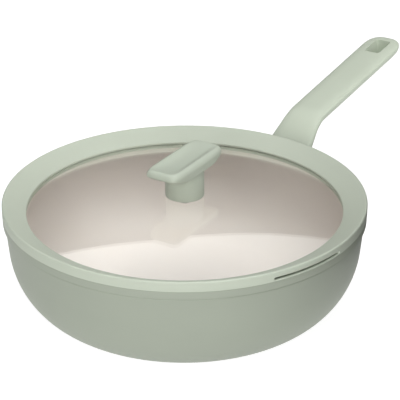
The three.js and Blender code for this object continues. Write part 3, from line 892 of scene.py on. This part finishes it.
def slot_mouth():
    """Tool for the mouth: a long outline with round ends that falls inwards and flares at its lips."""
    middle = (STEAM_SLOT_START + STEAM_SLOT_END) / 2
    half_height = STEAM_SLOT_HEIGHT / 2
    straight, arc = 48, 8
    # The mouth runs on to the middle of the duct, at the same fall.
    lip = RIM_OUTER - LOWER_LIP_ROUND
    inner_reach = (lip - DUCT_INNER - DUCT_WIDTH / 2) / (lip - DUCT_INNER - DUCT_WIDTH)
    # Radius, fall, and growth of the lower and the upper lip.
    stations = [
        (DUCT_INNER + DUCT_WIDTH / 2, STEAM_SLOT_FALL * inner_reach, 0, 0),
        (lip, 0, 0, 0),
        (RIM_OUTER - LIP_TURN_BACK * LOWER_LIP_ROUND, 0, LIP_TURN_GROWTH * LOWER_LIP_ROUND, 0),
        (RIM_OUTER, 0, LOWER_LIP_ROUND, UPPER_LIP_ROUND),
        (RIM_OUTER + LOWER_LIP_ROUND, 0, 2 * LOWER_LIP_ROUND, 2 * UPPER_LIP_ROUND),
    ]
    rings = []
    for radius, fall, lower, upper in stations:
        half_length = (STEAM_SLOT_END - STEAM_SLOT_START) / 2 * radius - half_height + upper
        edge = []
        for side in (1, -1):
            edge += [(side * half_length * (1 - 2 * i / straight), side) for i in range(straight)]
            for i in range(arc):
                turn = math.pi * i / arc
                edge.append((-side * (half_length + half_height * math.sin(turn)), side * math.cos(turn)))
        level = STEAM_SLOT_LOW + half_height - fall
        ring = []
        for along, rise in edge:
            turn = middle + along / radius
            height = level + rise * (half_height + (upper if rise > 0 else lower))
            ring.append(round_axis(radius, turn, height))
        rings.append(ring)
    inner, outer = stations[0], stations[-1]
    tips = (
        (inner[0], STEAM_SLOT_LOW - inner[1] + half_height),
        (outer[0] + MOUTH_TIP, STEAM_SLOT_LOW + half_height),
    )
    first, last = [[round_axis(radius, middle, height)] for radius, height in tips]
    return skin("slot_mouth", [first, *rings, last])


def slot_duct():
    """Tool for the duct that leads from the mouth down through the plug."""
    below = PLUG_LOW - TOOL_OVERRUN
    top = STEAM_SLOT_LOW - STEAM_SLOT_FALL + STEAM_SLOT_HEIGHT
    outer = DUCT_INNER + DUCT_WIDTH
    section = ((DUCT_INNER, below), (DUCT_INNER, top), (outer, top), (outer, below))
    steps = 40
    rings = []
    for i in range(steps + 1):
        turn = STEAM_SLOT_START + (STEAM_SLOT_END - STEAM_SLOT_START) * i / steps
        rings.append([round_axis(radius, turn, z) for radius, z in section])
    return skin("slot_duct", capped(rings))


def lid_rim():
    rim = turned("lid_rim_moulding", rim_section(), RIM_STEPS, loop=True)
    combine(rim, slot_mouth(), "DIFFERENCE")
    combine(rim, slot_duct(), "DIFFERENCE")
    return rim


# Silicone from a blasted mould is matt and a little milky, with a powdery bloom at glancing angles.
# The blasting is drawn at 1.4 mm, coarser than the real one, so that it shows.
moulded_silicone = finish(
    "moulded_sage_silicone",
    SILICONE,
    SILICONE_DEEP,
    cloud_size=35 * MM,
    grain_size=1.4 * MM,
    bump_depth=0.008 * MM,
    roughness=(0.55, 0.68),
    IOR=1.41,
    Sheen_Weight=0.05,
)
rim = lid_rim()
rim.data.materials.clear()
rim.data.materials.append(moulded_silicone)
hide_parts("lid_silicone_rim")
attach(rim, "lid")

# Lid knob: one nylon moulding with the same soft-touch coat as the grip, its colour a shade deeper as
# painted shade. A round stem, oval at its top, spreads into a long bar with a rounded hull. A thick round
# lip runs all round the bar's top, and the shallow trough inside it takes a finger or a spoon.
KNOB_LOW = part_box("lid_knob")[0].z
STEM_BASE = 15.5 * MM
STEM_TOP_LONG = 18 * MM
STEM_TOP_WIDE = 14.6 * MM
STEM_EDGE = 0.6 * MM
STEM_EDGE_TURN = 0.3 * STEM_EDGE
# The stem is round up to this far under the bar. Then come half length, half width and distance under it.
STEM_ROUND_END = 12 * MM
STEM_SPREAD = [(15.7 * MM, 15.4 * MM, 9 * MM), (17 * MM, 14.8 * MM, 5 * MM)]
STEM_RISE = 4.5 * MM
STEM_FILLET = 3 * MM
STEM_NARROWS = 2 * MM
STEM_BLEND = 24
# Shares of the bar's plan at which its underside curves down into the stem, and how far that reaches.
FILLET_SHARES = (0.6, 0.68, 0.76, 0.84, 0.92)
FILLET_REACH = 0.5
BAR_LENGTH = 74 * MM
BAR_WIDTH = 31.2 * MM
BAR_BELOW_SOLID = 1.2 * MM
BAR_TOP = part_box("lid_knob")[1].z - BAR_BELOW_SOLID
BAR_DEPTH = 9.4 * MM
BAR_SQUARENESS = 6.5
LIP_WIDTH = 4.4 * MM
LIP_HEIGHT = 4.8 * MM
END_LIP = 3.3 * MM
HULL_TUCK = 0.25
HULL_CURVE = 1.8
SIDE_FLARE = 0.015
TROUGH_DEPTH = 2.8 * MM
TROUGH_SIDE = 3
TROUGH_END = 2.2
# Shares of the trough's innermost outline that close its floor.
TROUGH_SHARES = (0.8, 0.6, 0.4, 0.2)
KNOB_RECESS_RADIUS = 12.3 * MM
KNOB_RECESS_TOP = 94.2 * MM
KNOB_BORE_RADIUS = 4.5 * MM
KNOB_BORE_TOP = 111.2 * MM
KNOB_TURN = math.radians(2.5)
KNOB_STEPS = 240
ELLIPSE = 2
# The knob's sage is the grip's nylon made a shade deeper, which is painted shade.
KNOB_SAGE_PAINTED_SHADE = "B9C2B3"
KNOB_DEEP_SAGE_PAINTED_SHADE = "B5BDAD"


def trough(x, y):
    """Height of the bar's top, which is dished inside a level lip."""
    along = min(1, abs(x) / (BAR_LENGTH / 2 - END_LIP))
    across = min(1, abs(y) / (BAR_WIDTH / 2 - LIP_WIDTH))
    return BAR_TOP - TROUGH_DEPTH * (1 - across**TROUGH_SIDE) * (1 - along**TROUGH_END)


def merge_stem(x, y, above):
    """Plan point of the bar at a height above its underside, pushed out to the stem where that is wider."""
    fall = (above + STEM_FILLET) / (STEM_RISE + STEM_FILLET)
    if fall >= 1:
        return x, y
    narrower = STEM_NARROWS * fall
    reach = math.hypot(x / (STEM_TOP_LONG - narrower), y / (STEM_TOP_WIDE - narrower))
    grow = (1 + reach**-STEM_BLEND) ** (1 / STEM_BLEND)
    return x * grow, y * grow


def knob():
    under = BAR_TOP - BAR_DEPTH
    # Radius and height of the round outlines, down the bore and round the foot of the stem.
    round_levels = [
        (KNOB_BORE_RADIUS, KNOB_BORE_TOP),
        (KNOB_BORE_RADIUS, KNOB_RECESS_TOP),
        (KNOB_RECESS_RADIUS, KNOB_RECESS_TOP),
        (KNOB_RECESS_RADIUS, KNOB_LOW),
        (STEM_BASE - STEM_EDGE, KNOB_LOW),
        (STEM_BASE - STEM_EDGE_TURN, KNOB_LOW + STEM_EDGE_TURN),
        (STEM_BASE, KNOB_LOW + STEM_EDGE),
        (STEM_BASE, under - STEM_ROUND_END),
    ]
    levels = [(radius, radius, height) for radius, height in round_levels]
    levels += [(long, wide, under - below) for long, wide, below in STEM_SPREAD]
    levels.append((STEM_TOP_LONG, STEM_TOP_WIDE, under - STEM_FILLET))
    rings = []
    for long, wide, height in levels:
        rings.append([(x, y, height) for x, y in outline(long, wide, ELLIPSE, KNOB_STEPS)])
    half_length, half_width = BAR_LENGTH / 2, BAR_WIDTH / 2
    plan = outline(half_length, half_width, BAR_SQUARENESS, KNOB_STEPS)
    for share in FILLET_SHARES:
        height = under - STEM_FILLET * ((1 - share) / FILLET_REACH) ** 2
        foot = [(x * share * (1 - HULL_TUCK), y * share * (1 + SIDE_FLARE)) for x, y in plan]
        rings.append([(*merge_stem(x, y, height - under), height) for x, y in foot])
    hull_steps = 18
    hull_height = BAR_DEPTH - LIP_HEIGHT
    for i in range(hull_steps + 1):
        height = under + hull_height * i / hull_steps
        left = max(0, 1 - (height - under) / hull_height)
        tuck, flare = 1 - HULL_TUCK * left**HULL_CURVE, 1 + SIDE_FLARE * left
        rings.append([(*merge_stem(x * tuck, y * flare, height - under), height) for x, y in plan])
    edge = rings[-1]
    lip_steps, trough_steps = 10, 12
    insets = [LIP_WIDTH * (1 - math.cos(math.pi / 2 * i / lip_steps)) for i in range(1, lip_steps + 1)]
    insets += [LIP_WIDTH + (half_width - LIP_WIDTH) * i / trough_steps for i in range(1, trough_steps)]
    for inset in insets:
        shorter, narrower = 1 - inset / LIP_WIDTH * END_LIP / half_length, 1 - inset / half_width
        left = max(0, 1 - inset / LIP_WIDTH)
        fall = LIP_HEIGHT * (1 - math.sqrt(1 - left**2))
        inside = [(x * shorter, y * narrower) for x, y, _ in edge]
        rings.append([(x, y, trough(x, y) - fall) for x, y in inside])
    innermost = rings[-1]
    for share in TROUGH_SHARES:
        rings.append([(x * share, y * share, trough(x * share, y * share)) for x, y, _ in innermost])
    return skin("lid_knob_moulding", [[(0, 0, KNOB_BORE_TOP)], *rings, [(0, 0, BAR_TOP - TROUGH_DEPTH)]])


knob_moulding = knob()
knob_moulding.rotation_euler.z = KNOB_TURN
# The knob's coat is the grip's, coloured a shade deeper as painted shade.
knob_moulding.data.materials.append(soft_touch("soft_touch_knob_painted_shade", KNOB_SAGE_PAINTED_SHADE, KNOB_DEEP_SAGE_PAINTED_SHADE))
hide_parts("lid_knob")
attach(knob_moulding, "lid")

# Knob fastening: a steel screw comes up through washer, grommet, glass and gasket into a knurled brass
# insert that is moulded into the stem. Gasket and grommet are milky silicone and keep steel off the glass.
KNOB_HEAD_HEIGHT = 2 * MM
RING_STEPS = 96
RING_ROUND = 0.2 * MM
RING_ROUND_STEPS = 3
SILICONE_HOLE = 3.2 * MM
GROMMET_FLANGE = 0.6 * MM
KNURLS = 24
KNURL_DEPTH = 0.3 * MM
# Shares of the insert's height and radius, from its foot over its waist to its top.
INSERT_FOOT = [(0, 0.93), (0.04, 1)]
INSERT_WAIST = [(0.35, 1), (0.45, 0.85), (0.55, 0.85), (0.65, 1)]
INSERT_HEAD = [(0.96, 1), (1, 0.93)]
CLEAR_SILICONE = "D8D9D3"
CLEAR_SILICONE_DEEP = "CFD0C9"
BRASS = "C6A664"
BRASS_DARK = "A98A4C"


def flat_ring(name, node, hole, sleeve=None):
    """Ring with rounded edges in the box of a CAD node. A sleeve of a smaller radius may stand on it."""
    low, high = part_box(node)
    outside = [(high.x, high.z)]
    if sleeve is not None:
        flange_top = low.z + GROMMET_FLANGE
        outside = [(high.x, flange_top), (sleeve, flange_top), (sleeve, high.z)]
    section = [(hole, low.z), (high.x, low.z), *outside, (hole, high.z)]
    corners = [(radius, height, RING_ROUND) for radius, height in section]
    return turned(name, rounded(corners, RING_ROUND_STEPS), RING_STEPS, loop=True)


def knurled_insert():
    low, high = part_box("knob_threaded_insert")
    # Of every four points, two lie in a groove of the knurl.
    steps = 4 * KNURLS
    knurl = [high.x - KNURL_DEPTH * (i % 4 < 2) for i in range(steps)]
    rings = []
    for share, waist in INSERT_FOOT + INSERT_WAIST + INSERT_HEAD:
        rings.append(level_ring([radius * waist for radius in knurl], low.z + (high.z - low.z) * share))
    bore = [SCREW_RADIUS + FIT] * steps
    rings += [level_ring(bore, height) for height in (high.z, low.z)]
    return skin("knob_brass_insert", rings, loop=True)


# Turned brass is warm and bright, with fine tool marks that break up its highlight.
# The marks are drawn at 0.5 mm, coarser than the real ones, so that they show.
turned_brass = finish(
    "turned_brass",
    BRASS,
    BRASS_DARK,
    cloud_size=0.7 * MM,
    grain_size=0.5 * MM,
    bump_depth=0.005 * MM,
    roughness=(0.25, 0.4),
    Metallic=1,
)
# Unpigmented silicone is milky and takes on the light round it.
milky_silicone = finish(
    "milky_silicone",
    CLEAR_SILICONE,
    CLEAR_SILICONE_DEEP,
    cloud_size=6 * MM,
    grain_size=0.8 * MM,
    bump_depth=0.005 * MM,
    roughness=(0.45, 0.6),
    IOR=1.41,
)
screw_low, screw_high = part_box("knob_screw")
knob_screw = screw(
    "knob_button_screw", screw_high.x, KNOB_HEAD_HEIGHT, screw_high.z - screw_low.z - KNOB_HEAD_HEIGHT
)
knob_screw.location.z = screw_low.z + KNOB_HEAD_HEIGHT
knob_washer = flat_ring("knob_steel_washer", "knob_washer", SCREW_RADIUS + FIT)
gasket = flat_ring("knob_silicone_gasket", "knob_upper_gasket", SILICONE_HOLE)
grommet = flat_ring("knob_silicone_grommet", "knob_lower_grommet", SILICONE_HOLE, GLASS_HOLE - FIT)
insert = knurled_insert()
for piece, node, slot, material in (
    (knob_screw, "knob_screw", "steel", fastener_steel),
    (knob_washer, "knob_washer", "steel", fastener_steel),
    (gasket, "knob_upper_gasket", "pale_silicone", milky_silicone),
    (grommet, "knob_lower_grommet", "pale_silicone", milky_silicone),
    (insert, "knob_threaded_insert", "brass", turned_brass),
):
    piece.data.materials.append(material)
    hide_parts(node)
    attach(piece, "lid")

# Studio: a white floor and room with soft lights overhead and from the left, the front and the right.
# A dark flag behind the set is mirrored in the glass, and a small one beside the pan shades its right.
# A lit diffuser cloth above the back flag shows as the gleam on the front of the glass.
CAMERA_AZIMUTH = math.radians(-56)
CAMERA_ELEVATION = math.asin(0.4286)
CAMERA_DISTANCE = 1228.3 * MM
CAMERA_LENS = 139.3
CREST_POINT = Vector((0, 0, 91.3)) * MM
AIM_RIGHT = 12.06 * MM
AIM_DOWN = 3 * MM
FLOOR_HALF = 6.0
FLOOR_DROP = 0.1 * MM
FLOOR_WHITE = "A0A0A0"
FLOOR_ROUGHNESS = 0.9
FLOOR_GLOW = 0.43
FLOOR_SEEN = 0.88
FLOOR_SHOWN = ("Is Glossy Ray",)
ROOM_LIGHT = 0.02
ROOM_SEEN = 1
ROOM_SHOWN = ("Is Glossy Ray", "Is Transmission Ray")
WHITE = (1, 1, 1, 1)
# Places in the studio are metres to the right of the pan, behind it and above the floor.
# Name of each soft light, its place, the length of its sides and its power in watts.
SOFT_LIGHTS = [
    ("top_light", (0.4, 0, 2.3), 1.7, 28),
    ("left_light", (-0.7, 0, 2.1), 1.2, 6.7),
    ("front_fill", (-0.24, -1.85, 0.66), 1.3, 24.3),
    ("right_light", (1.5, -0.5, 1.0), 1.0, 9),
]
LIGHT_AIM = Vector((0, 0, 50)) * MM
FLAG_BLACK = "202020"
FLAG_ROUGHNESS = 0.95
FLAG_BACK = 1.2
FLAG_HALF = 1.8
FLAG_FOOT = [(-FLAG_HALF, 0), (FLAG_HALF, 0)]
FLAG_EDGE = [(FLAG_HALF, 0.67), (0.6, 0.88), (-0.1, 1.083), (-FLAG_HALF, 1.1)]
SIDE_FLAG_RIGHT = 0.18
SIDE_FLAG_LOW = 0.03
SIDE_FLAG_HEIGHT = 0.16
SIDE_FLAG_FRONT = -0.35
SIDE_FLAG_BACK = 0.1
GLEAM_TOP = 2.2
GLEAM_LEFT = 1.8
GLEAM_RIGHT = 1.2
GLEAM_FADE_START = -0.3
GLEAM_FADE_END = 0.6

view_right = Vector((math.cos(CAMERA_AZIMUTH), math.sin(CAMERA_AZIMUTH), 0))
view_back = Vector((-math.sin(CAMERA_AZIMUTH), math.cos(CAMERA_AZIMUTH), 0))
view_axis = view_back * math.cos(CAMERA_ELEVATION) - Vector((0, 0, math.sin(CAMERA_ELEVATION)))
view_up = view_right.cross(view_axis)


def in_studio(right, back, up):
    return view_right * right + view_back * back + Vector((0, 0, up))


def by_ray(tree, lighting, seen, kinds):
    """Strength for the rays that light the object, and another for those that show the studio."""
    ray = add_node(tree, "LightPath").outputs
    shown = ray["Is Camera Ray"]
    for kind in kinds:
        shown = add_node(tree, "Math", links={0: shown, 1: ray[kind]}, operation="MAXIMUM")
    return add_node(tree, "MapRange", {"To Min": lighting, "To Max": seen}, {"Value": shown})


def sheet(name, corners, material):
    mesh = bpy.data.meshes.new(name)
    mesh.from_pydata(corners, [], [range(len(corners))])
    mesh.materials.append(material)
    piece = bpy.data.objects.new(name, mesh)
    bpy.context.scene.collection.objects.link(piece)
    return piece


# The floor is painted matt and glows a little, so that it is white to the eye and keeps a soft shadow.
floor_paint, floor_tree = new_material("white_studio_floor")
paint = {"Base Color": linear(FLOOR_WHITE), "Roughness": FLOOR_ROUGHNESS, "Emission Color": WHITE}
floor_glow = by_ray(floor_tree, FLOOR_GLOW, FLOOR_SEEN, FLOOR_SHOWN)
floor_shader = add_node(floor_tree, "BsdfPrincipled", paint, {"Emission Strength": floor_glow})
add_node(floor_tree, "OutputMaterial", links={"Surface": floor_shader})
floor_plan = ((-1, -1), (1, -1), (1, 1), (-1, 1))
floor_corners = [(x * FLOOR_HALF, y * FLOOR_HALF, -FLOOR_DROP) for x, y in floor_plan]
sheet("studio_floor", floor_corners, floor_paint)

# Black cloth gives back hardly any light.
flag_cloth, flag_tree = new_material("black_flag_cloth")
dye = {"Base Color": linear(FLAG_BLACK), "Roughness": FLAG_ROUGHNESS}
flag_shader = add_node(flag_tree, "BsdfPrincipled", dye)
add_node(flag_tree, "OutputMaterial", links={"Surface": flag_shader})
flag_corners = [in_studio(right, FLAG_BACK, up) for right, up in FLAG_FOOT + FLAG_EDGE]
side_plan = (
    (SIDE_FLAG_FRONT, SIDE_FLAG_LOW),
    (SIDE_FLAG_BACK, SIDE_FLAG_LOW),
    (SIDE_FLAG_BACK, SIDE_FLAG_HEIGHT),
    (SIDE_FLAG_FRONT, SIDE_FLAG_HEIGHT),
)
side_corners = [in_studio(SIDE_FLAG_RIGHT, back, up) for back, up in side_plan]
for flag in (sheet("back_flag", flag_corners, flag_cloth), sheet("side_flag", side_corners, flag_cloth)):
    flag.visible_camera = False

# Diffuser cloth lit from behind glows evenly, here brighter at the left than at the right.
gleam_cloth, gleam_tree = new_material("lit_diffuser_cloth")
gleam_place = add_node(gleam_tree, "TexCoord").outputs["Object"]
across = add_node(gleam_tree, "VectorMath", {1: view_right}, {0: gleam_place}, operation="DOT_PRODUCT")
fade = {"From Min": GLEAM_FADE_START, "From Max": GLEAM_FADE_END}
fade.update({"To Min": GLEAM_LEFT, "To Max": GLEAM_RIGHT})
gleam_level = add_node(gleam_tree, "MapRange", fade, {"Value": across.outputs["Value"]})
gleam_shader = add_node(gleam_tree, "Emission", links={"Strength": gleam_level})
add_node(gleam_tree, "OutputMaterial", links={"Surface": gleam_shader})
gleam_edge = FLAG_EDGE + [(-FLAG_HALF, GLEAM_TOP), (FLAG_HALF, GLEAM_TOP)]
gleam_corners = [in_studio(right, FLAG_BACK, up) for right, up in gleam_edge]
gleam = sheet("gleam_cloth", gleam_corners, gleam_cloth)
gleam.visible_camera = False
gleam.visible_diffuse = False

world = bpy.data.worlds.new("white_studio")
bpy.context.scene.world = world
world.use_nodes = True
world.node_tree.nodes.clear()
room_light = by_ray(world.node_tree, ROOM_LIGHT, ROOM_SEEN, ROOM_SHOWN)
background = add_node(world.node_tree, "Background", {"Color": WHITE}, {"Strength": room_light})
add_node(world.node_tree, "OutputWorld", links={"Surface": background})

# Each light is a square of soft light that is turned to the pan.
for name, place, size, power in SOFT_LIGHTS:
    lamp = bpy.data.lights.new(name, "AREA")
    lamp.size = size
    lamp.energy = power
    stand = bpy.data.objects.new(name, lamp)
    stand.location = in_studio(*place)
    stand.rotation_mode = "QUATERNION"
    stand.rotation_quaternion = (LIGHT_AIM - stand.location).to_track_quat("-Z", "Y")
    bpy.context.scene.collection.objects.link(stand)

camera = bpy.data.objects.new("camera", bpy.data.cameras.new("camera"))
bpy.context.scene.collection.objects.link(camera)
camera.data.lens = CAMERA_LENS
camera.location = CREST_POINT - view_axis * CAMERA_DISTANCE
aim = CREST_POINT + view_right * AIM_RIGHT - view_up * AIM_DOWN
camera.rotation_mode = "QUATERNION"
camera.rotation_quaternion = (aim - camera.location).to_track_quat("-Z", "Y")
bpy.context.scene.camera = camera
bpy.context.scene.view_settings.view_transform = "Standard"
